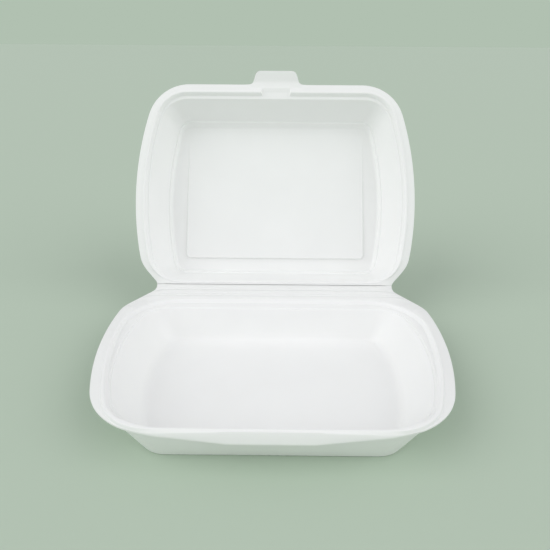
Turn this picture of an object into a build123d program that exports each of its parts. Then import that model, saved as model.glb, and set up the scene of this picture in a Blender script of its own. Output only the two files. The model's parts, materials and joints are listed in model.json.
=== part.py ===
"""Foam clamshell food container, standing open, as one moulded sheet of white foam.

The base tray and the lid are the two halves of one sheet, joined by a folding strip.
Each half is drawn in its own rim plane: X runs across, Y is the distance from the fold,
and the hollow goes down from the plane. Millimetres, +Z up, the front of the box at -Y,
origin on the table under the middle of the tray's floor.
"""

import os
from dataclasses import dataclass, replace
from math import atan2, cos, radians, sin, sqrt, tan

from build123d import *

# Sheet: measured square to the wall, and how far the outer outline stands off at one level
BASE_SHEET = 3.9
BASE_OFFSET = 2.2
BASE_RIM_SHEET = 2.6
LID_SHEET = 1.4
LID_OFFSET = 0.9
LID_RIM_SHEET = 1.25

# Rim of both halves
NECK_INSET = 20.7
RIDGE_HEIGHT = 0.5
FLANGE_DROP = 2.0
BASE_FLANGE = 6.7
LID_FLANGE = 6.1
RIDGE_WIDTH = 1.6
RIDGE_FOOT = 0.5
RIDGE_DEPTH = 1.7
RIDGE_SPREAD = 0.85
CORNER_SHARPENING = 1.5
STEP_RUN = 1.7
STEP_DROP = 3.0

# Base tray
BASE_HALF_WIDTH = 120.0
BASE_WIDEST = 66.0
BASE_BOW = 250.0
BASE_FRONT = 176.0
BASE_CORNER = 50.0
BASE_NOTCH = 6.0
BASE_SHOULDER = 35.0
BASE_FRONT_LIP = 1.0
CREST_SETBACK = 1.4
WELL_BACK = 26.0
WELL_FRONT = 171.6
WELL_BACK_CORNER = 40.0
WELL_FRONT_CORNER = 32.0
BASIN_INSET = 4.8
BASIN_BACK = 34.8
BASIN_FRONT = 173.6
BASIN_WIDEST = 88.0
BASIN_BOW = 182.0
BASIN_BACK_CORNER = 29.0
BASIN_FRONT_CORNER = 40.0
LEDGE_INSET = 7.0
LEDGE_BACK = 35.4
LEDGE_FRONT = 171.0
CREASE_WIDTH = 0.9
CREASE_DEPTH = 0.6
TRAY_DEPTH = 28.0
FLOOR_RUN = 20.1
FLOOR_BACK = 40.8
FLOOR_FRONT = 158.0
FLOOR_BACK_CORNER = 12.0
FLOOR_FRONT_CORNER = 22.0
FLOOR_ROUND = 2.6
FLOOR_ROUND_IN = 2.0

# Front skirt of the tray, which the lid's tongue reaches over
SKIRT_SHEET = 1.9
SKIRT_DROP = 5.2
SKIRT_LEAN = 20.0
SKIRT_ROOT = 1.6
SKIRT_FLAT = 23.4
SKIRT_REACH = 70.0

# Folding strip
FOLD_GAP = 0.3
NOTCH_FILLET = 6.0
NOTCH_SHARE = 0.9
SHOULDER_FILLET = 12.0
SCORE_PLACES = (7.1, 14.2, 17.7)
SCORE_WIDTH = 1.2
SCORE_DEPTH = 0.5
SCORE_REACH = 125.0

# Lid
LID_NARROWING = 0.5
LID_WIDEST = 76.0
LID_BOW = 270.0
LID_FRONT = 174.5
LID_CORNER = 36.0
LID_NOTCH = 1.8
LID_SHOULDER = 17.0
LID_WELL_BACK = 2.6
LID_WELL_CORNER = 26.0
LID_LEDGE = 1.2
WALL_TOP_BACK = 3.4
WALL_TOP_FRONT = 161.9
WALL_RUN = 12.2
WALL_FOOT_BACK = 11.6
WALL_FOOT_FRONT = 150.4
WALL_CORNER = 24.0
SHELF_DEPTH = 26.0
SHELF_WIDTH = 1.2
LID_DEPTH = 30.0
CEILING_RUN = 2.7
CEILING_BACK = 13.4
CEILING_FRONT = 145.8
CEILING_CORNER = 18.0
CEILING_FILLET = 2.0
PANEL_MARGIN = 14.2
PANEL_BACK = 25.7
PANEL_FRONT = 138.0
PANEL_RISE = 2.4
LID_CLEARANCE = 0.3

# Tongue on the lid's front edge, and the pocket at its root
TONGUE_HALF_WIDTH = 17.7
TONGUE_BEND = 178.0
TONGUE_TIP = 186.1
TONGUE_ANGLE = 22.0
TONGUE_LIFT = 0.4
TONGUE_CORNER = 3.5
TONGUE_FLARE = 5.2
TONGUE_ROOT = 171.5
POCKET_HALF_WIDTH = 12.5
POCKET_BACK = 164.8
POCKET_FRONT = 170.6
POCKET_WALL = 1.7

# Pose of the lid in the frame: the angle through which it has opened from shut
LID_OPENING = 118.5

# Widths that follow from the tray's
neck_half_width = BASE_HALF_WIDTH - NECK_INSET
base_well_half = BASE_HALF_WIDTH - BASE_FLANGE - RIDGE_FOOT - RIDGE_WIDTH
basin_half = base_well_half - BASIN_INSET
ledge_half = base_well_half - LEDGE_INSET
floor_half = basin_half - FLOOR_RUN
lid_half = BASE_HALF_WIDTH - LID_NARROWING
lid_well_half = lid_half - LID_FLANGE - RIDGE_FOOT - RIDGE_WIDTH
wall_top_half = lid_well_half - STEP_RUN - LID_LEDGE
wall_foot_half = wall_top_half - WALL_RUN
ceiling_half = wall_foot_half - CEILING_RUN
panel_half = ceiling_half - PANEL_MARGIN

RIM_HEIGHT = TRAY_DEPTH + BASE_SHEET
FOLD_Y = (FLOOR_BACK + FLOOR_FRONT) / 2
LID_TILT = radians(180 - LID_OPENING)

base_plane = Plane(origin=(0, FOLD_Y, RIM_HEIGHT), x_dir=(-1, 0, 0), z_dir=(0, 0, 1))
lid_fold_plane = Plane(
    origin=(0, FOLD_Y, RIM_HEIGHT),
    x_dir=(1, 0, 0),
    z_dir=(0, -sin(LID_TILT), cos(LID_TILT)),
)
lid_plane = lid_fold_plane.offset(-LID_CLEARANCE)


def side(half_width, widest, bow, distance):
    """Half-width of a bowed side at a distance from the fold."""
    return half_width - bow + sqrt(bow**2 - (distance - widest) ** 2)


@dataclass(frozen=True)
class Outline:
    """A rectangle with bowed sides and round corners, in a rim plane."""

    half_width: float
    back: float
    front: float
    back_corner: float
    front_corner: float
    widest: float
    bow: float

    def grown(self, amount):
        """The outline moved outward by an amount all round, or inward if it is negative."""
        return replace(
            self,
            half_width=self.half_width + amount,
            back=self.back - amount,
            front=self.front + amount,
            back_corner=self.back_corner + amount,
            front_corner=self.front_corner + amount,
            bow=self.bow + amount,
        )

    def toward(self, other, share):
        """The outline part of the way from this one to another, as on a straight wall."""
        sizes = {
            name: value + share * (getattr(other, name) - value)
            for name, value in vars(self).items()
        }
        return Outline(**sizes)

    def at(self, plane, height):
        """The outline as a face, at a height over the rim plane."""
        back_half = side(self.half_width, self.widest, self.bow, self.back)
        front_half = side(self.half_width, self.widest, self.bow, self.front)
        with BuildSketch(plane.offset(height)) as section:
            with BuildLine():
                ThreePointArc(
                    (back_half, self.back), (self.half_width, self.widest), (front_half, self.front)
                )
                ThreePointArc(
                    (-back_half, self.back), (-self.half_width, self.widest), (-front_half, self.front)
                )
                Line((back_half, self.back), (-back_half, self.back))
                Line((front_half, self.front), (-front_half, self.front))
            make_face()
            fillet(section.vertices().group_by(Axis.Y)[0], self.back_corner)
            fillet(section.vertices().group_by(Axis.Y)[-1], self.front_corner)
        return section.sketch.face()


@dataclass(frozen=True)
class Rim:
    """The edge of a half: bowed sides, a round front, and shoulders in to the neck."""

    half_width: float
    front: float
    corner: float
    notch: float
    shoulder: float
    widest: float
    bow: float

    def at(self, plane, height, inset, front_inset, back):
        """The edge as a face, moved in by an inset at the sides and another at the front."""
        half_width = self.half_width - inset
        neck = neck_half_width - inset
        notch = self.notch + 0.31 * inset
        shoulder = self.shoulder + 0.36 * inset
        front = self.front - front_inset
        shoulder_half = side(half_width, self.widest, self.bow, shoulder)
        front_half = side(half_width, self.widest, self.bow, front)
        with BuildSketch(plane.offset(height)) as section:
            with BuildLine():
                for hand in (1, -1):
                    Line((hand * neck, back), (hand * neck, notch))
                    Line((hand * neck, notch), (hand * shoulder_half, shoulder))
                    ThreePointArc(
                        (hand * shoulder_half, shoulder),
                        (hand * half_width, self.widest),
                        (hand * front_half, front),
                    )
                Line((neck, back), (-neck, back))
                Line((front_half, front), (-front_half, front))
            make_face()
            corner = self.corner - CORNER_SHARPENING * inset
            fillet(section.vertices().group_by(Axis.Y)[-1], corner)
            levels = section.vertices().group_by(Axis.Y)
            fillet(levels[2], SHOULDER_FILLET)
            levels = section.vertices().group_by(Axis.Y)
            turn = atan2(shoulder_half - neck, shoulder - notch)
            room = NOTCH_SHARE * (notch - back)
            fillet(levels[1], min(NOTCH_FILLET, room / tan(turn / 2)))
        return section.sketch.face()


base_rim = Rim(
    BASE_HALF_WIDTH,
    BASE_FRONT,
    BASE_CORNER,
    BASE_NOTCH,
    BASE_SHOULDER,
    BASE_WIDEST,
    BASE_BOW,
)
lid_rim = Rim(
    lid_half,
    LID_FRONT,
    LID_CORNER,
    LID_NOTCH,
    LID_SHOULDER,
    LID_WIDEST,
    LID_BOW,
)
base_well = Outline(
    base_well_half,
    WELL_BACK,
    WELL_FRONT,
    WELL_BACK_CORNER,
    WELL_FRONT_CORNER,
    BASE_WIDEST,
    BASE_BOW,
)
basin = Outline(
    basin_half,
    BASIN_BACK,
    BASIN_FRONT,
    BASIN_BACK_CORNER,
    BASIN_FRONT_CORNER,
    BASIN_WIDEST,
    BASIN_BOW,
)
floor = replace(
    basin,
    half_width=floor_half,
    back=FLOOR_BACK,
    front=FLOOR_FRONT,
    back_corner=FLOOR_BACK_CORNER,
    front_corner=FLOOR_FRONT_CORNER,
)
lid_well = Outline(
    lid_well_half,
    LID_WELL_BACK,
    LID_FRONT - LID_FLANGE - RIDGE_FOOT - RIDGE_WIDTH,
    LID_WELL_CORNER,
    LID_WELL_CORNER,
    LID_WIDEST,
    LID_BOW,
)
wall_top = replace(
    lid_well,
    half_width=wall_top_half,
    back=WALL_TOP_BACK,
    front=WALL_TOP_FRONT,
    back_corner=WALL_CORNER,
    front_corner=WALL_CORNER,
)
wall_foot = replace(
    wall_top,
    half_width=wall_foot_half,
    back=WALL_FOOT_BACK,
    front=WALL_FOOT_FRONT,
)
ceiling = replace(
    wall_top,
    half_width=ceiling_half,
    back=CEILING_BACK,
    front=CEILING_FRONT,
    back_corner=CEILING_CORNER,
    front_corner=CEILING_CORNER,
)

base_ridge = replace(base_well.grown(RIDGE_WIDTH), front=BASE_FRONT - CREST_SETBACK)
lid_ridge = lid_well.grown(RIDGE_WIDTH)
ledge_line = Outline(
    ledge_half,
    LEDGE_BACK,
    LEDGE_FRONT,
    BASIN_BACK_CORNER,
    BASIN_FRONT_CORNER,
    BASIN_WIDEST,
    BASIN_BOW,
)
tongue_rise = (TONGUE_TIP - TONGUE_BEND) * tan(radians(TONGUE_ANGLE))

base_side_plane = Plane(origin=base_plane.origin, x_dir=base_plane.y_dir, z_dir=base_plane.x_dir)
lid_side_plane = Plane(origin=lid_plane.origin, x_dir=lid_plane.y_dir, z_dir=lid_plane.x_dir)
skirt_lean = radians(SKIRT_LEAN)
skirt_plane = Plane(
    origin=(0, FOLD_Y - BASE_FRONT, RIM_HEIGHT - RIDGE_HEIGHT - FLANGE_DROP),
    x_dir=(1, 0, 0),
    z_dir=(0, -cos(skirt_lean), sin(skirt_lean)),
)

# Everything that is hollow over the tray's inner surface: well, crease, basin
with BuildPart() as tray_hollow:
    base_well_foot = base_well.grown(-STEP_RUN).at(base_plane, -STEP_DROP)
    loft([base_well_foot, base_well.at(base_plane, 0)], ruled=True)
    extrude(base_well.at(base_plane, 0), amount=1.0)
    floor_inside = floor.grown(-FLOOR_ROUND_IN).at(base_plane, -TRAY_DEPTH)
    wall_start = floor.toward(basin, FLOOR_ROUND / TRAY_DEPTH).at(base_plane, FLOOR_ROUND - TRAY_DEPTH)
    loft([floor_inside, wall_start], ruled=True)
    loft([wall_start, basin.at(base_plane, 0)], ruled=True)
    extrude(basin.at(base_plane, 0), amount=1.0)
    crease = ledge_line.grown(CREASE_WIDTH)
    extrude(crease.at(base_plane, -STEP_DROP - CREASE_DEPTH), amount=CREASE_DEPTH)

with BuildPart() as base_tray:
    # Flange: a sheet that slopes down and outward, with the folding strip behind
    edge_height = -RIDGE_HEIGHT - FLANGE_DROP
    base_edge = base_rim.at(base_plane, edge_height, 0, 0, FOLD_GAP)
    root_inset = BASE_FLANGE + RIDGE_FOOT + RIDGE_WIDTH / 2
    base_root = base_rim.at(base_plane, -RIDGE_HEIGHT, root_inset, BASE_FRONT_LIP, FOLD_GAP)
    loft([base_edge, base_root], ruled=True)
    extrude(base_edge, amount=-BASE_RIM_SHEET)
    lower = Location((0, 0, -BASE_RIM_SHEET))
    loft([base_edge.moved(lower), base_root.moved(lower)], ruled=True, mode=Mode.SUBTRACT)
    # Ridge, the outside of the well and the outside of the basin
    ridge_foot = base_ridge.grown(RIDGE_SPREAD).at(base_plane, -RIDGE_DEPTH)
    loft([ridge_foot, base_ridge.at(base_plane, 0)], ruled=True)
    well_outside = base_well.grown(BASE_OFFSET).at(base_plane, -STEP_DROP - BASE_RIM_SHEET)
    extrude(well_outside, amount=STEP_DROP + BASE_RIM_SHEET - RIDGE_DEPTH)
    underside = floor.grown(BASE_OFFSET).at(base_plane, -TRAY_DEPTH - BASE_SHEET)
    basin_outside = basin.grown(BASE_OFFSET).at(base_plane, -BASE_SHEET)
    loft([underside, basin_outside], ruled=True)
    # Skirt along the front
    with BuildSketch(skirt_plane) as skirt:
        Polygon(
            (-SKIRT_REACH, 0),
            (-SKIRT_FLAT, -SKIRT_DROP),
            (SKIRT_FLAT, -SKIRT_DROP),
            (SKIRT_REACH, 0),
            (SKIRT_REACH, SKIRT_ROOT),
            (-SKIRT_REACH, SKIRT_ROOT),
            align=None,
        )
    extrude(skirt.sketch, amount=-SKIRT_SHEET)
    add(tray_hollow.part, mode=Mode.SUBTRACT)
    # Score lines across the folding strip
    for place in SCORE_PLACES:
        with BuildSketch(base_side_plane) as score:
            Polygon(
                (place - SCORE_WIDTH / 2, -RIDGE_HEIGHT + 0.1),
                (place + SCORE_WIDTH / 2, -RIDGE_HEIGHT + 0.1),
                (place, -RIDGE_HEIGHT - SCORE_DEPTH),
                align=None,
            )
        extrude(score.sketch, amount=SCORE_REACH, both=True, mode=Mode.SUBTRACT)

# Everything that is hollow inside the lid: well, walls, shelf, and the panel left standing
with BuildPart() as lid_hollow:
    lid_well_foot = lid_well.grown(-STEP_RUN).at(lid_plane, -STEP_DROP)
    loft([lid_well_foot, lid_well.at(lid_plane, 0)], ruled=True)
    extrude(lid_well.at(lid_plane, 0), amount=1.0)
    loft([wall_foot.at(lid_plane, -SHELF_DEPTH), wall_top.at(lid_plane, -STEP_DROP)], ruled=True)
    shelf = wall_foot.grown(-SHELF_WIDTH)
    loft([ceiling.at(lid_plane, -LID_DEPTH), shelf.at(lid_plane, -SHELF_DEPTH)], ruled=True)
    with BuildSketch(lid_side_plane) as panel:
        Polygon(
            (PANEL_BACK, -LID_DEPTH - 1.0),
            (PANEL_BACK, -LID_DEPTH + PANEL_RISE),
            (PANEL_FRONT, -LID_DEPTH),
            (PANEL_FRONT, -LID_DEPTH - 1.0),
            align=None,
        )
    extrude(panel.sketch, amount=panel_half, both=True, mode=Mode.SUBTRACT)
    with BuildSketch(lid_plane.offset(-STEP_DROP)) as pocket:
        with Locations((0, (POCKET_BACK + POCKET_FRONT) / 2)):
            Rectangle(2 * POCKET_HALF_WIDTH, POCKET_FRONT - POCKET_BACK)
    extrude(pocket.sketch, amount=STEP_DROP + 1.0)

with BuildPart() as lid:
    # Flange and the short strip at the fold
    lid_edge = lid_rim.at(lid_plane, edge_height, 0, 0, FOLD_GAP)
    lid_inset = LID_FLANGE + RIDGE_FOOT + RIDGE_WIDTH / 2
    lid_root = lid_rim.at(lid_plane, -RIDGE_HEIGHT, lid_inset, lid_inset, FOLD_GAP)
    loft([lid_edge, lid_root], ruled=True)
    extrude(lid_edge, amount=-LID_RIM_SHEET)
    deeper = Location(lid_plane.z_dir * -LID_RIM_SHEET)
    loft([lid_edge.moved(deeper), lid_root.moved(deeper)], ruled=True, mode=Mode.SUBTRACT)
    # Ridge and the outside of the well
    lid_ridge_foot = lid_ridge.grown(RIDGE_SPREAD).at(lid_plane, -RIDGE_DEPTH)
    loft([lid_ridge_foot, lid_ridge.at(lid_plane, 0)], ruled=True)
    lid_well_outside = lid_well.grown(LID_RIM_SHEET).at(lid_plane, -STEP_DROP - LID_SHEET)
    extrude(lid_well_outside, amount=STEP_DROP + LID_SHEET - RIDGE_DEPTH)
    # Outside of the walls, of the shelf and of the ceiling
    wall_foot_outside = wall_foot.grown(LID_OFFSET).at(lid_plane, -SHELF_DEPTH - LID_SHEET)
    wall_top_outside = wall_top.grown(LID_OFFSET).at(lid_plane, -STEP_DROP - LID_SHEET)
    loft([wall_foot_outside, wall_top_outside], ruled=True)
    ceiling_outside = ceiling.grown(LID_OFFSET).at(lid_plane, -LID_DEPTH - LID_SHEET)
    shelf_outside = shelf.grown(LID_OFFSET).at(lid_plane, -SHELF_DEPTH - LID_SHEET)
    loft([ceiling_outside, shelf_outside], ruled=True)
    with BuildSketch(lid_side_plane) as panel_outside:
        Polygon(
            (PANEL_BACK, -LID_DEPTH - LID_SHEET - 1.0),
            (PANEL_BACK, -LID_DEPTH - LID_SHEET + PANEL_RISE),
            (PANEL_FRONT, -LID_DEPTH - LID_SHEET),
            (PANEL_FRONT, -LID_DEPTH - LID_SHEET - 1.0),
            align=None,
        )
    extrude(panel_outside.sketch, amount=panel_half, both=True, mode=Mode.SUBTRACT)
    # Pad under the pocket at the tongue's root
    with BuildSketch(lid_plane.offset(-STEP_DROP - POCKET_WALL)) as pad:
        with Locations((0, (POCKET_BACK + POCKET_FRONT) / 2)):
            Rectangle(
                2 * (POCKET_HALF_WIDTH + POCKET_WALL),
                POCKET_FRONT - POCKET_BACK + 2 * POCKET_WALL,
            )
    extrude(pad.sketch, amount=STEP_DROP + POCKET_WALL - RIDGE_HEIGHT)
    # Tongue, bent toward the tray at its middle
    with BuildSketch(lid_side_plane) as tongue:
        with BuildLine():
            Polyline(
                (TONGUE_ROOT, edge_height + TONGUE_LIFT),
                (TONGUE_BEND, edge_height + TONGUE_LIFT),
                (TONGUE_TIP, edge_height + TONGUE_LIFT + tongue_rise),
                (TONGUE_TIP, edge_height + TONGUE_LIFT + tongue_rise - LID_RIM_SHEET),
                (TONGUE_BEND, edge_height + TONGUE_LIFT - LID_RIM_SHEET),
                (TONGUE_ROOT, edge_height + TONGUE_LIFT - LID_RIM_SHEET),
                close=True,
            )
        make_face()
    with BuildPart(mode=Mode.PRIVATE) as tongue_sheet:
        extrude(tongue.sketch, amount=TONGUE_HALF_WIDTH + TONGUE_FLARE, both=True)
        with BuildSketch(lid_plane.offset(-STEP_DROP - LID_SHEET)) as tongue_plan:
            with Locations((0, (TONGUE_ROOT + TONGUE_TIP) / 2)):
                Rectangle(2 * TONGUE_HALF_WIDTH, TONGUE_TIP - TONGUE_ROOT)
            fillet(tongue_plan.vertices().group_by(Axis.Y)[-1], TONGUE_CORNER)
            Polygon(
                (-TONGUE_HALF_WIDTH - TONGUE_FLARE, TONGUE_ROOT),
                (TONGUE_HALF_WIDTH + TONGUE_FLARE, TONGUE_ROOT),
                (TONGUE_HALF_WIDTH + TONGUE_FLARE, LID_FRONT - 0.5),
                (TONGUE_HALF_WIDTH, TONGUE_BEND),
                (-TONGUE_HALF_WIDTH, TONGUE_BEND),
                (-TONGUE_HALF_WIDTH - TONGUE_FLARE, LID_FRONT - 0.5),
                align=None,
            )
        extrude(tongue_plan.sketch, amount=12.0, mode=Mode.INTERSECT)
    add(tongue_sheet.part)
    add(lid_hollow.part, mode=Mode.SUBTRACT)

base_tray.part.label = "base_tray"
lid.part.label = "lid"
for piece in (base_tray, lid):
    print(piece.part.label, piece.part.volume, piece.part.center(), len(piece.part.solids()))

os.makedirs("parts", exist_ok=True)
export_step(base_tray.part, "parts/base_tray.step")
export_step(lid.part, "parts/lid.step")
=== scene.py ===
import json
from bisect import bisect_left
from math import atan2, cos, dist, hypot, inf, pi, radians, sin, sqrt, tan

import bpy
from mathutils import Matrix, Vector


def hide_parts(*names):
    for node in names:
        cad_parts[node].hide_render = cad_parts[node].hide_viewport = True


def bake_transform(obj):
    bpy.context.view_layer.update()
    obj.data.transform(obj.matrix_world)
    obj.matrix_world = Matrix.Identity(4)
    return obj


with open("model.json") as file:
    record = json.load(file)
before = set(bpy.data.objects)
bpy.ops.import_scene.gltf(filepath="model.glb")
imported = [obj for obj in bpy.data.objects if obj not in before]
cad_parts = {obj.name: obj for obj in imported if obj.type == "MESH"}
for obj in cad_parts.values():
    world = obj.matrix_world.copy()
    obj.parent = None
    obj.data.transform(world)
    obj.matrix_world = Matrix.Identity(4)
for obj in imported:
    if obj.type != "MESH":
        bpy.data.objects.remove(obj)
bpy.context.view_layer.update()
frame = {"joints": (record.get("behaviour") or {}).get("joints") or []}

bpy.ops.object.select_all(action="DESELECT")

# Tray: the lower half of one sheet of white polystyrene foam, pressed hot. It has a bowed rim
# with a narrow ridge, a step, a ledge with its crease, drafted walls and a flat floor. At the
# front the step runs out and the wall turns over into a short skirt.
FOLD = Vector(frame["joints"][0]["pos_m"]) * 1000
MIDDLE = 95.0
NECK = 99.3
NOTCH_ROUND = 5.0
SHOULDER_ROUND = 9.0
SHOULDER_POINTS = 4
FOLD_STEPS = 20
TURN_STEPS = 120
LEAST_TURN = 0.0016


# Each half is drawn in its own rim plane in millimetres: x across, s away from the fold, z up.
# One profile stands in every direction round a middle point. It crosses the inside, turns over
# the edge and comes back under the outside.
def arc(centre, radius, start, end, steps=14):
    turns = [start + (end - start) * k / steps for k in range(steps + 1)]
    return [(centre[0] + radius * cos(a), centre[1] + radius * sin(a)) for a in turns]


def mix(a, b, share):
    return a + (b - a) * share


def ease(value):
    value = min(max(value, 0.0), 1.0)
    return value * value * (3 - 2 * value)


def bowed(half, back, front, back_corner, front_corner, widest, bow):
    """Right half of a bowed rectangle, from the middle of its back to the middle of its front."""
    cx = half - bow
    back_s = back + back_corner
    front_s = front - front_corner
    back_x = cx + sqrt((bow - back_corner) ** 2 - (back_s - widest) ** 2)
    front_x = cx + sqrt((bow - front_corner) ** 2 - (front_s - widest) ** 2)
    start = atan2(back_s - widest, back_x - cx)
    stop = atan2(front_s - widest, front_x - cx)
    points = [(0.0, back)]
    points += arc((back_x, back_s), back_corner, -pi / 2, start)
    points += arc((cx, widest), bow, start, stop, 40)
    points += arc((front_x, front_s), front_corner, stop, pi / 2)
    return points + [(0.0, front)]


def grown(sizes, out, **changes):
    """A bowed rectangle moved outward all round, with the sizes that depart from that."""
    moved = {
        "half": sizes["half"] + out,
        "back": sizes["back"] - out,
        "front": sizes["front"] + out,
        "back_corner": sizes["back_corner"] + out,
        "front_corner": sizes["front_corner"] + out,
        "widest": sizes["widest"],
        "bow": sizes["bow"] + out,
    }
    moved.update(changes)
    return bowed(**moved)


def toward(corner, other, size, most):
    """The point at a distance from a corner toward another, at most a share of the way."""
    length = max(dist(other[:2], corner[:2]), 1e-6)
    share = min(size, most * length) / length
    return [mix(corner[i], other[i], share) for i in (0, 1)]


def turn(start, corner, end, steps):
    """Points of a smooth turn between two points, drawn toward the corner."""
    shares = [k / steps for k in range(steps + 1)]
    return [
        tuple(mix(mix(start[i], corner[i], t), mix(corner[i], end[i], t), t) for i in (0, 1))
        for t in shares
    ]


def rounded(points, sizes, steps=6):
    """A line of points with its inner corners rounded off by the given lengths."""
    out = [points[0]]
    for a, b, c, size in zip(points, points[1:], points[2:], sizes):
        out += turn(toward(b, a, size, 0.49), b, toward(b, c, size, 0.49), steps)
    return out + [points[-1]]


def softened(corners, steps=4):
    """A profile of (r, z, rounding) whose corners are rounded, with the same count everywhere."""
    out = [corners[0][:2]]
    for a, b, c in zip(corners, corners[1:], corners[2:]):
        if b[2] == 0:
            out.append(b[:2])
        else:
            out += turn(toward(b, a, b[2], 0.48), b, toward(b, c, b[2], 0.48), steps)
    return out + [corners[-1][:2]]


def rim_edge(half, front, corner, notch, shoulder, widest, bow, start_s, tongue=None):
    """Right half of a rim's edge, from the fold round to the middle of the front."""
    cx = half - bow
    side = cx + sqrt(bow**2 - (shoulder - widest) ** 2)
    front_x = cx + sqrt((bow - corner) ** 2 - (front - corner - widest) ** 2)
    start = atan2(shoulder - widest, side - cx)
    stop = atan2(front - corner - widest, front_x - cx)
    side_bow = arc((cx, widest), bow, start, stop, 40)
    neck = [(0.0, start_s), (NECK, start_s), (NECK, notch), side_bow[0], side_bow[SHOULDER_POINTS]]
    points = rounded(neck, (0, NOTCH_ROUND, SHOULDER_ROUND)) + side_bow[SHOULDER_POINTS + 1 :]
    points += arc((front_x, front - corner), corner, stop, pi / 2)
    return points + (tongue or [(0.0, front)])


class Reach:
    """How far an outline lies from the middle point, in any direction."""

    def __init__(self, points):
        turned = sorted((atan2(s - MIDDLE, x), x, s - MIDDLE) for x, s in points)
        self.angles = [a for a, _, _ in turned]
        self.places = [(x, s) for _, x, s in turned]

    def __call__(self, angle):
        if angle > pi / 2:
            angle = pi - angle
        k = min(max(bisect_left(self.angles, angle), 1), len(self.angles) - 1)
        (ax, ay), (bx, by) = self.places[k - 1], self.places[k]
        across = cos(angle) * (by - ay) - sin(angle) * (bx - ax)
        if abs(across) < 1e-9:
            return hypot(ax, ay)
        return (ax * by - ay * bx) / across


def distance_to(points, x, s):
    """Distance from a point to a line of points."""
    best = inf
    for (ax, ay), (bx, by) in zip(points, points[1:]):
        dx, dy = bx - ax, by - ay
        length = max(dx * dx + dy * dy, 1e-12)
        t = min(max(((x - ax) * dx + (s - ay) * dy) / length, 0), 1)
        best = min(best, hypot(x - ax - t * dx, s - ay - t * dy))
    return best


def directions(start_s, extra):
    """Angles all round: even steps along the fold, then even turns, and the extra points."""
    angles = [atan2(start_s - MIDDLE, NECK * k / FOLD_STEPS) for k in range(FOLD_STEPS + 1)]
    corner = angles[-1]
    turns = [mix(corner, pi / 2, (k + 1) / TURN_STEPS) for k in range(TURN_STEPS)]
    turns += [atan2(s - MIDDLE, x) for x, s in extra]
    for angle in sorted(turns):
        if angle - angles[-1] > LEAST_TURN:
            angles.append(angle)
    return angles + [pi - a for a in reversed(angles[1:-1])]


TRAY_DEPTH = 28.0
TRAY_UNDER = -FOLD.z
TRAY_OFFSET = 2.2
WALL_MIDDLE = -16.0
FLOOR_ROUND = 5.0
UNDER_ROUND = 1.8
STEP_DROP = 3.0
STEP_RUN = 1.7
STEP_FADE = 1.6
CREASE_Z = -3.7
CREASE_FLOOR = 1.0
CREASE_WIDTH = 1.1
LEDGE_LEAST = 0.4
LEDGE_FADE = 2.0
WELL_TOP = -0.05
WELL_SHEET = 1.8
WALL_ROOT = -4.4
UNDER_RIDGE = -2.5
UNDER_STEP = -5.5
RIDGE_WIDTH = 1.6
RIDGE_FALL = 0.4
RIDGE_FOOT = -0.5
FLANGE_START = 0.7
FLANGE_DROP = 2.0
SLOPE_WIDTH = 8.0
SLOPE_AT_FRONT = 1.0
FRONT_START = 160.0
FRONT_RUN = 14.0
TRAY_EDGE_SHEET = 1.1
TRAY_FLANGE_SHEET = 1.6
SKIRT_DROP = 5.2
SKIRT_OUT = 1.8
SKIRT_FLAT = 23.4
SKIRT_REACH = 70.0
SKIRT_EDGE_SHEET = 0.25
SKIRT_TAKES = 0.9
SKIRT_TURN = 0.4
SKIRT_QUICK = 4
STRIP_END = 34.0
LOOKS_BACK = -0.2
TRAY_FOLD_START = 1.4
SHOULDER_HALF = 118.9
SCORE_PLACES = (7.1, 14.2, 17.7)
SCORE_HALF = 0.7
SCORE_DEPTH = 0.7
TRAY_RIM = {
    "half": 120.0, "front": 176.0, "corner": 50.0, "notch": 6.0,
    "shoulder": 35.0, "widest": 66.0, "bow": 250.0, "start_s": TRAY_FOLD_START,
}
WELL = {
    "half": 111.2, "back": 26.0, "front": 171.6, "back_corner": 40.0,
    "front_corner": 32.0, "widest": 66.0, "bow": 250.0,
}
BASIN = {
    "half": 106.4, "back": 34.8, "front": 173.6, "back_corner": 22.0,
    "front_corner": 40.0, "widest": 88.0, "bow": 182.0,
}
FLOOR = {
    "half": 86.3, "back": 40.8, "front": 158.0, "back_corner": 8.0,
    "front_corner": 12.0, "widest": 88.0, "bow": 182.0,
}
tray_rim = rim_edge(**TRAY_RIM)
tray_edge = Reach(tray_rim)
tray_crest = Reach(grown(WELL, RIDGE_WIDTH, front=174.6))
tray_well = Reach(bowed(**WELL))
tray_well_foot = Reach(grown(WELL, -STEP_RUN))
tray_well_out = Reach(grown(WELL, WELL_SHEET))
basin_top = Reach(bowed(**BASIN))
basin_out = Reach(grown(BASIN, TRAY_OFFSET))
tray_floor = Reach(bowed(**FLOOR))
tray_under = Reach(grown(FLOOR, TRAY_OFFSET, front=161.0, front_corner=16.0))
score_lines = sorted(
    [(place + side * SCORE_HALF, 0.0) for place in SCORE_PLACES for side in (-1, 1)]
    + [(place, SCORE_DEPTH) for place in SCORE_PLACES]
    + [(2.2, 0.0), (21.6, 0.0), (22.2, 0.25)],
    reverse=True,
)


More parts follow.
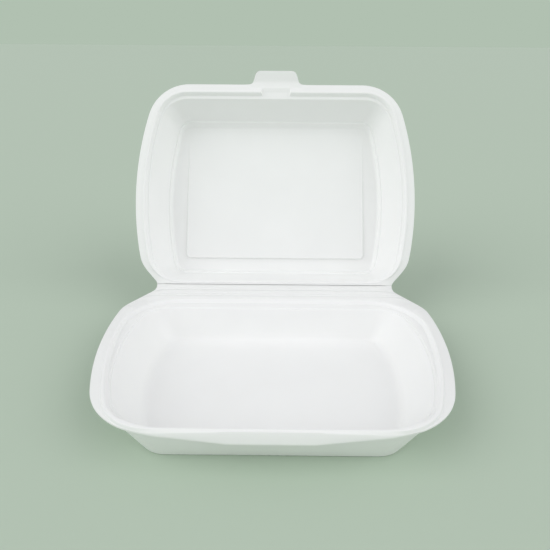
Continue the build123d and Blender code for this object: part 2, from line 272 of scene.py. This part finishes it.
def tray_profile(angle):
    """The tray's section in one direction: its inside with the rim, and its underside."""
    dx, ds = cos(angle), sin(angle)
    edge, crest = tray_edge(angle), tray_crest(angle)
    well, well_foot = tray_well(angle), tray_well_foot(angle)
    floor, under = tray_floor(angle), tray_under(angle)
    well_out = tray_well_out(angle)

    def wall(z):
        return mix(floor, basin_top(angle), (z + TRAY_DEPTH) / TRAY_DEPTH)

    def outside(z):
        return mix(under, basin_out(angle), (z - TRAY_UNDER) / TRAY_DEPTH)

    ledge = ease((well_foot - wall(-STEP_DROP) - LEDGE_LEAST) / LEDGE_FADE)
    step = ease((well - wall(0.0)) / STEP_FADE)
    reach = (SKIRT_REACH - abs(edge * dx)) / (SKIRT_REACH - SKIRT_FLAT)
    skirt = min(max(reach, 0.0), 1.0) if ds > 0 else 0.0

    def flange(r):
        x, s = abs(r * dx), MIDDLE + r * ds
        width = mix(SLOPE_WIDTH, SLOPE_AT_FRONT, ease((s - FRONT_START) / FRONT_RUN))
        near = distance_to(tray_rim[1:], x, s)
        return RIDGE_FOOT - FLANGE_DROP * (1 - SKIRT_TAKES * skirt) * max(0.0, 1.0 - near / width)

    def on_ledge(plain_z, r, z, rounding):
        """A point of the ledge, which lies on the plain wall where the ledge has run out."""
        return mix(wall(plain_z), r, ledge), mix(plain_z, z, ledge), rounding

    foot = crest + FLANGE_START
    inner = softened(
        [
            (floor * 0.35, -TRAY_DEPTH, 0),
            (floor * 0.75, -TRAY_DEPTH, 0),
            (floor, -TRAY_DEPTH, FLOOR_ROUND),
            (wall(WALL_MIDDLE), WALL_MIDDLE, 0),
            (wall(CREASE_Z), mix(-STEP_DROP, CREASE_Z, ledge), 0.3),
            on_ledge(-2.6, wall(CREASE_Z) + CREASE_FLOOR, CREASE_Z, 0.3),
            on_ledge(-2.2, wall(-STEP_DROP) + CREASE_WIDTH, -STEP_DROP, 0.3),
            on_ledge(-1.8, well_foot, -STEP_DROP, 0.7),
            (mix(wall(2 * WELL_TOP), well, step), WELL_TOP, 0.6),
            (crest, 0.0, 0.6),
            (crest + RIDGE_FALL, flange(crest + RIDGE_FALL), 0.3),
            (foot, flange(foot), 0),
        ]
    )
    drop = (SKIRT_DROP + SKIRT_TAKES * FLANGE_DROP) * skirt
    tip = edge + SKIRT_OUT * skirt
    end = flange(edge) - drop
    turn_over = mix(1.0, SKIRT_TURN, min(1.0, SKIRT_QUICK * skirt))
    count = len(score_lines)
    rim = []
    for k, (place, deep) in enumerate(score_lines):
        share = (k + 1) / (count + 1)
        if ds < LOOKS_BACK and MIDDLE + edge * ds < STRIP_END:
            line = (MIDDLE - place) / -ds
            r = min(max(line, foot + 0.05 * k), edge - 0.06 * (count - k))
            rim.append((r, flange(r) - (deep if abs(r - line) < 1e-6 else 0.0)))
        elif share < turn_over:
            r = mix(foot, edge, share / turn_over)
            rim.append((r, flange(r)))
        else:
            down = (share - turn_over) / (1 - turn_over)
            rim.append((mix(edge, tip, down), flange(edge) - drop * down))
    rim.append((tip, end))
    root = max(well_out, outside(WALL_ROOT))
    half_way = mix(tip, root, 0.5)
    flange_under = mix(flange(half_way), end, skirt) - TRAY_FLANGE_SHEET * (1 - skirt)
    underside = softened(
        [
            (tip - 0.1, end - mix(TRAY_EDGE_SHEET, SKIRT_EDGE_SHEET, skirt), 0),
            (mix(half_way, tip - 1.0, skirt), flange_under, 0.5),
            (root + 0.3 * ledge, mix(-4.2, UNDER_RIDGE, ledge), 0.8),
            (mix(outside(-5.0), well_out, ledge), mix(-5.0, UNDER_STEP, ledge), 0.8),
            (outside(-5.9), mix(-5.9, UNDER_STEP, ledge), 0.9),
            (under, TRAY_UNDER, UNDER_ROUND),
            (under * 0.6, TRAY_UNDER, 0),
        ]
    )
    return inner + rim, underside


def tray_place(x, s, z):
    return Vector((x, FOLD.y - s, FOLD.z + z))


# Lid: the upper half of the same sheet. It has the rim in its own proportions, a narrow ledge,
# walls, a shelf, and a panel that stands proud of the ceiling and sinks back toward the front.
# The front tongue bends up, and the ridge opens into a shallow pocket at the tongue's root.
LID_OPENING = radians(118.5)
LID_CLEARANCE = 0.3
LID_FOLD_START = 0.7
LID_FRONT = 174.5
LID_DEPTH = 30.0
SHELF_DEPTH = 26.0
SHELF_WIDTH = 1.2
LID_SHEET = 1.4
LID_EDGE_SHEET = 1.1
LID_OUTSET = 0.9
LID_SLOPE_WIDTH = 7.4
LID_FLANGE_START = 0.35
LID_RIM_ROWS = 11
ROW_APART = 0.01
PANEL_HALF = 79.3
PANEL_BACK = 25.7
PANEL_FRONT = 138.0
PANEL_RISE = 2.4
PANEL_LEAST = 0.02
PANEL_ROUND = 4.0
PANEL_EDGE = 0.5
POCKET_HALF = 13.2
POCKET_FADE = 1.6
POCKET_DEPTH = 2.9
POCKET_OUT = 3.0
TONGUE_TIP = 185.2
TONGUE_BEND = 177.0
TONGUE_ANGLE = radians(22.0)
TONGUE_LEVEL = -2.1
TONGUE_SPREAD = 25.5
TONGUE_SIDE_FADE = 6.0
TONGUE_ROOT = 169.5
TONGUE_ROOT_FADE = 3.5
LID_RIM = {
    "half": 119.5, "front": LID_FRONT, "corner": 36.0, "notch": 1.8,
    "shoulder": 17.0, "widest": 76.0, "bow": 270.0, "start_s": LID_FOLD_START,
}
LID_WELL = {
    "half": 111.3, "back": 3.2, "front": 166.3, "back_corner": 26.0,
    "front_corner": 26.0, "widest": 76.0, "bow": 270.0,
}
WALL_TOP = {
    "half": 108.4, "back": 4.2, "front": 161.9, "back_corner": 24.0,
    "front_corner": 24.0, "widest": 76.0, "bow": 270.0,
}
WALL_FOOT = {
    "half": 96.2, "back": 11.6, "front": 150.4, "back_corner": 12.0,
    "front_corner": 12.0, "widest": 76.0, "bow": 270.0,
}
CEILING = {
    "half": 93.5, "back": 14.0, "front": 145.8, "back_corner": 9.0,
    "front_corner": 9.0, "widest": 76.0, "bow": 270.0,
}
tongue_side = [
    (27.0, LID_FRONT),
    (20.4, 174.9),
    (18.9, 179.5),
    (16.6, TONGUE_TIP),
    (0.0, TONGUE_TIP),
]
tongue_line = rounded(tongue_side, (5.0, 3.2, 3.6), 8)
lid_rim = rim_edge(**LID_RIM)
lid_edge = Reach(rim_edge(**LID_RIM, tongue=tongue_line))
lid_plain_edge = Reach(lid_rim)
lid_crest = Reach(grown(LID_WELL, RIDGE_WIDTH, back=2.1))
lid_well = Reach(bowed(**LID_WELL))
lid_well_foot = Reach(grown(LID_WELL, -STEP_RUN, back=4.6))
wall_top = Reach(bowed(**WALL_TOP))
wall_foot = Reach(bowed(**WALL_FOOT))
shelf_line = Reach(grown(WALL_FOOT, -SHELF_WIDTH))
ceiling_line = Reach(bowed(**CEILING))
panel_corners = [
    (0.0, PANEL_BACK),
    (PANEL_HALF, PANEL_BACK),
    (PANEL_HALF, PANEL_FRONT),
    (0.0, PANEL_FRONT),
]
panel_outline = rounded(panel_corners, (PANEL_ROUND, PANEL_ROUND))
panel_line = Reach(panel_outline)


def panel_rise(s):
    return PANEL_RISE * (PANEL_FRONT - s) / (PANEL_FRONT - PANEL_BACK)


def lid_profile(angle):
    """The lid's section in one direction: its inside with the rim, and its outside."""
    dx, ds = cos(angle), sin(angle)
    edge, plain, crest = lid_edge(angle), lid_plain_edge(angle), lid_crest(angle)
    top, foot_of_wall, shelf = wall_top(angle), wall_foot(angle), shelf_line(angle)
    panel, ceiling = panel_line(angle), ceiling_line(angle)
    at_front = 1.0 if ds > 0 else 0.0
    pocket = at_front * ease((POCKET_HALF - abs(crest * dx)) / POCKET_FADE)

    def flange(r):
        x, s = abs(r * dx), MIDDLE + r * ds
        near = distance_to(lid_rim[1:], x, s) if r < plain else 0.0
        height = RIDGE_FOOT - FLANGE_DROP * max(0.0, 1.0 - near / LID_SLOPE_WIDTH)
        across = ease((TONGUE_SPREAD - x) / TONGUE_SIDE_FADE)
        along = ease((s - TONGUE_ROOT) / TONGUE_ROOT_FADE)
        lift = max(0.0, s - TONGUE_BEND) * tan(TONGUE_ANGLE)
        return mix(height, TONGUE_LEVEL + lift, at_front * across * along)

    edge_rise = max(panel_rise(MIDDLE + panel * ds), PANEL_LEAST)
    half_rise = panel_rise(MIDDLE + 0.5 * panel * ds)
    ramp = crest + RIDGE_FALL + POCKET_OUT * pocket
    start = ramp + LID_FLANGE_START
    inner = softened(
        [
            (panel * 0.5, -LID_DEPTH + half_rise, 0),
            (panel, -LID_DEPTH + edge_rise, 0.6),
            (panel + PANEL_EDGE, -LID_DEPTH, 0.3),
            (ceiling, -LID_DEPTH, 2.0),
            (shelf, -SHELF_DEPTH, 0.5),
            (foot_of_wall, -SHELF_DEPTH, 0.5),
            (top, -STEP_DROP, 0.5),
            (max(lid_well_foot(angle), top + 0.2), -STEP_DROP, 0.6),
            (lid_well(angle), mix(0.0, -POCKET_DEPTH, pocket), 0.6),
            (crest, mix(0.0, 0.05 - POCKET_DEPTH, pocket), 0.6),
            (ramp, flange(ramp), 0.3 + 0.9 * pocket),
            (start, flange(start), 0),
        ]
    )
    foot = min(start, edge - 0.4)
    stops = [mix(foot, edge, (k + 1) / LID_RIM_ROWS) for k in range(LID_RIM_ROWS)]
    rim = [(r, flange(r)) for r in stops]
    well_out = lid_well(angle) + 1.3
    thick = mix(LID_EDGE_SHEET, LID_SHEET, 0.5)
    spots = [mix(edge, foot, share) for share in (0.35, 0.65)]
    under_step = -STEP_DROP - LID_SHEET
    under_shelf = -SHELF_DEPTH - LID_SHEET
    under_ceiling = -LID_DEPTH - LID_SHEET
    outside = softened(
        [
            (edge - 0.05, flange(edge) - LID_EDGE_SHEET, 0),
            (spots[0], flange(spots[0]) - thick, 0),
            (spots[1], flange(spots[1]) - thick, 0),
            (min(well_out + 3.0 * pocket, edge - 0.6), -2.0 - 2.2 * pocket, 0.5),
            (min(well_out + 1.8 * pocket, edge - 0.8), under_step, 0.5),
            (min(top + LID_OUTSET + 0.7, well_out - 0.1), under_step - ROW_APART, 0.6),
            (foot_of_wall + LID_OUTSET, under_shelf, 0.6),
            (shelf + LID_OUTSET, under_shelf - ROW_APART, 0.4),
            (ceiling + LID_OUTSET, under_ceiling, 1.8),
            (panel + PANEL_EDGE, under_ceiling, 0.3),
            (panel, under_ceiling + edge_rise, 0.5),
            (panel * 0.5, under_ceiling + half_rise, 0),
        ]
    )
    return inner + rim, outside


lid_tilt = pi - LID_OPENING
up_lid = Vector((0, cos(lid_tilt), sin(lid_tilt)))
out_of_lid = Vector((0, -sin(lid_tilt), cos(lid_tilt)))


def lid_place(x, s, z):
    return FOLD + up_lid * s + out_of_lid * (z - LID_CLEARANCE) + Vector((x, 0, 0))


# Folding strip: the foam between the halves, pressed thin along its scores so that it bends.
# Here the two halves become one closed mesh, with the strip bent smoothly from one to the other.
FOLD_ROWS = 6
points, faces = [], []


def half_sheet(angles, profile, place, top_centre, under_centre):
    """Adds one half's points and faces. Returns its top and under points along the fold."""
    columns = []
    for angle in angles:
        top, under = profile(angle)
        column = []
        for r, z in top + under:
            column.append(len(points))
            points.append(place(r * cos(angle), MIDDLE + r * sin(angle), z))
        columns.append(column)
    seam = len(top) - 1
    centres = len(points), len(points) + 1
    points.append(place(0, MIDDLE, top_centre))
    points.append(place(0, MIDDLE, under_centre))
    for k, a in enumerate(columns):
        b = columns[(k + 1) % len(columns)]
        at_fold = k < FOLD_STEPS or k >= len(columns) - FOLD_STEPS
        faces.append((centres[0], a[0], b[0]))
        faces.append((centres[1], b[-1], a[-1]))
        for j in range(len(a) - 1):
            if not (at_fold and j == seam):
                faces.append((a[j], a[j + 1], b[j + 1], b[j]))
    span = [columns[(k - FOLD_STEPS) % len(columns)] for k in range(2 * FOLD_STEPS + 1)]
    return [c[seam] for c in span], [c[seam + 1] for c in span]


def fold_over(tray_row, lid_row):
    """Closes the fold with a strip that bends smoothly from the tray's sheet into the lid's."""
    rows = [tray_row]
    for k in range(1, FOLD_ROWS):
        t = k / FOLD_ROWS
        row = []
        for a, b in zip(tray_row, lid_row):
            p, q = points[a], points[b]
            bend = q - up_lid * ((q.z - p.z) / up_lid.z)
            row.append(len(points))
            points.append(p.lerp(bend, t).lerp(bend.lerp(q, t), t))
        rows.append(row)
    rows.append(lid_row)
    for first, second in zip(rows, rows[1:]):
        for k in range(len(first) - 1):
            faces.append((first[k], first[k + 1], second[k + 1], second[k]))


tray_stops = [
    (SKIRT_FLAT, TRAY_RIM["front"]),
    (SKIRT_REACH, TRAY_RIM["front"]),
    (SHOULDER_HALF, TRAY_RIM["shoulder"]),
    (NECK, TRAY_RIM["notch"]),
]
pocket_stops = [(x, 168.0) for x in (11.5, 12.3, POCKET_HALF)]
lid_stops = tongue_line[:-1] + pocket_stops + panel_outline[1:-1]
tray_angles = directions(TRAY_FOLD_START, tray_stops)
lid_angles = directions(LID_FOLD_START, lid_stops)
panel_middle = panel_rise(MIDDLE) - LID_DEPTH
tray_top, tray_low = half_sheet(tray_angles, tray_profile, tray_place, -TRAY_DEPTH, TRAY_UNDER)
lid_top, lid_low = half_sheet(
    lid_angles, lid_profile, lid_place, panel_middle, panel_middle - LID_SHEET
)
fold_over(tray_top, lid_top)
fold_over(tray_low, lid_low)

mesh = bpy.data.meshes.new("foam_sheet")
mesh.from_pydata([point / 1000 for point in points], [], faces)
mesh.validate()
sheet = bpy.data.objects.new("foam_sheet", mesh)
bpy.context.collection.objects.link(sheet)
bpy.context.view_layer.objects.active = sheet
sheet.select_set(True)
bpy.ops.object.mode_set(mode="EDIT")
bpy.ops.mesh.select_all(action="DESELECT")
bpy.ops.mesh.select_non_manifold(
    extend=False, use_multi_face=False, use_non_contiguous=False, use_verts=False
)
bpy.ops.mesh.fill()
bpy.ops.mesh.select_all(action="SELECT")
bpy.ops.mesh.normals_make_consistent(inside=False)
bpy.ops.object.mode_set(mode="OBJECT")
bpy.ops.object.shade_smooth_by_angle(angle=radians(50))

# Foam skin: white and matt, with a faint sheen where the hot mould closed the cells. A little
# light passes through it, and the closed cells leave a very fine grain.
FOAM_SHADE = (0.925, 0.93, 0.92, 1)
FOAM_PALE = (0.945, 0.95, 0.94, 1)
CLOUDS_PER_METRE = 22
CELLS_PER_METRE = 900
foam = bpy.data.materials.new("foam_skin")
foam.use_nodes = True
nodes, links = foam.node_tree.nodes, foam.node_tree.links
skin = nodes["Principled BSDF"]
skin.inputs["Subsurface Weight"].default_value = 0.25
skin.inputs["Subsurface Radius"].default_value = (1.0, 1.0, 0.95)
skin.inputs["Subsurface Scale"].default_value = 0.004
place_on_sheet = nodes.new("ShaderNodeTexCoord")
clouds = nodes.new("ShaderNodeTexNoise")
clouds.inputs["Scale"].default_value = CLOUDS_PER_METRE
clouds.inputs["Detail"].default_value = 3
links.new(place_on_sheet.outputs["Object"], clouds.inputs["Vector"])
tone = nodes.new("ShaderNodeValToRGB")
tone.color_ramp.elements[0].position = 0.3
tone.color_ramp.elements[0].color = FOAM_SHADE
tone.color_ramp.elements[1].position = 0.7
tone.color_ramp.elements[1].color = FOAM_PALE
links.new(clouds.outputs["Fac"], tone.inputs["Fac"])
links.new(tone.outputs["Color"], skin.inputs["Base Color"])
sheen = nodes.new("ShaderNodeMapRange")
sheen.inputs["To Min"].default_value = 0.42
sheen.inputs["To Max"].default_value = 0.62
links.new(clouds.outputs["Fac"], sheen.inputs["Value"])
links.new(sheen.outputs["Result"], skin.inputs["Roughness"])
cells = nodes.new("ShaderNodeTexVoronoi")
cells.feature = "DISTANCE_TO_EDGE"
cells.inputs["Scale"].default_value = CELLS_PER_METRE
links.new(place_on_sheet.outputs["Object"], cells.inputs["Vector"])
grain = nodes.new("ShaderNodeBump")
grain.inputs["Strength"].default_value = 0.1
grain.inputs["Distance"].default_value = 0.0002
links.new(cells.outputs["Distance"], grain.inputs["Height"])
links.new(grain.outputs["Normal"], skin.inputs["Normal"])
mesh.materials.append(foam)
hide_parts("base_tray", "lid")
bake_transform(sheet)

# Table top: a plain pale sheet of board under the container, which runs on far past the
# picture.
BOARD_COLOUR = (0.50, 0.60, 0.49, 1)
bpy.ops.mesh.primitive_plane_add(size=40, location=(0, 0, 0))
table = bpy.context.active_object
table.name = "table_top"
board = bpy.data.materials.new("board_finish")
board.use_nodes = True
board.node_tree.nodes["Principled BSDF"].inputs["Base Color"].default_value = BOARD_COLOUR
board.node_tree.nodes["Principled BSDF"].inputs["Roughness"].default_value = 0.9
table.data.materials.append(board)

# Light: a pale room all round, and two large soft lamps, the stronger one from the left. The
# camera sees the room in the colour of the far table top.
AIR_COLOUR = (0.97, 0.98, 1, 1)
AIR_STRENGTH = 0.56
BACKDROP_COLOUR = (0.44, 0.532, 0.44, 1)
LAMPS = (("soft_left", (-1.6, -0.8, 1.3), 1.0), ("soft_right", (1.6, -0.8, 1.3), 0.8))
LAMP_WIDTH = radians(50)
room = bpy.data.worlds.new("room_light")
bpy.context.scene.world = room
room.use_nodes = True
nodes, links = room.node_tree.nodes, room.node_tree.links
air = nodes["Background"]
air.inputs["Color"].default_value = AIR_COLOUR
air.inputs["Strength"].default_value = AIR_STRENGTH
backdrop = nodes.new("ShaderNodeBackground")
backdrop.inputs["Color"].default_value = BACKDROP_COLOUR
seen = nodes.new("ShaderNodeLightPath")
choose = nodes.new("ShaderNodeMixShader")
links.new(seen.outputs["Is Camera Ray"], choose.inputs["Fac"])
links.new(air.outputs["Background"], choose.inputs[1])
links.new(backdrop.outputs["Background"], choose.inputs[2])
links.new(choose.outputs["Shader"], nodes["World Output"].inputs["Surface"])
for name, place, strength in LAMPS:
    bpy.ops.object.light_add(type="SUN", location=place)
    light = bpy.context.active_object
    light.name = name
    light.data.energy = strength
    light.data.angle = LAMP_WIDTH
    light.rotation_euler = (-light.location).to_track_quat("-Z", "Y").to_euler()

# Camera: in front of the tray and well above it, two millimetres to the right of its middle,
# looking down into the open container. The distances are in millimetres from the fold.
CAMERA_RIGHT = 2.4
CAMERA_FORWARD = 384.6
CAMERA_UP = 188.0
FOCAL_PIXELS = 508
PICTURE_PIXELS = 550
SENSOR_WIDTH = 36
bpy.ops.object.camera_add(
    location=(CAMERA_RIGHT / 1000, (FOLD.y - CAMERA_FORWARD) / 1000, (FOLD.z + CAMERA_UP) / 1000),
    rotation=(radians(65.1), radians(-0.34), radians(0.44)),
)
camera = bpy.context.active_object
camera.data.sensor_width = SENSOR_WIDTH
camera.data.lens = FOCAL_PIXELS / PICTURE_PIXELS * SENSOR_WIDTH
camera.data.clip_start = 0.01
bpy.context.scene.camera = camera
bpy.context.scene.view_settings.view_transform = "Standard"
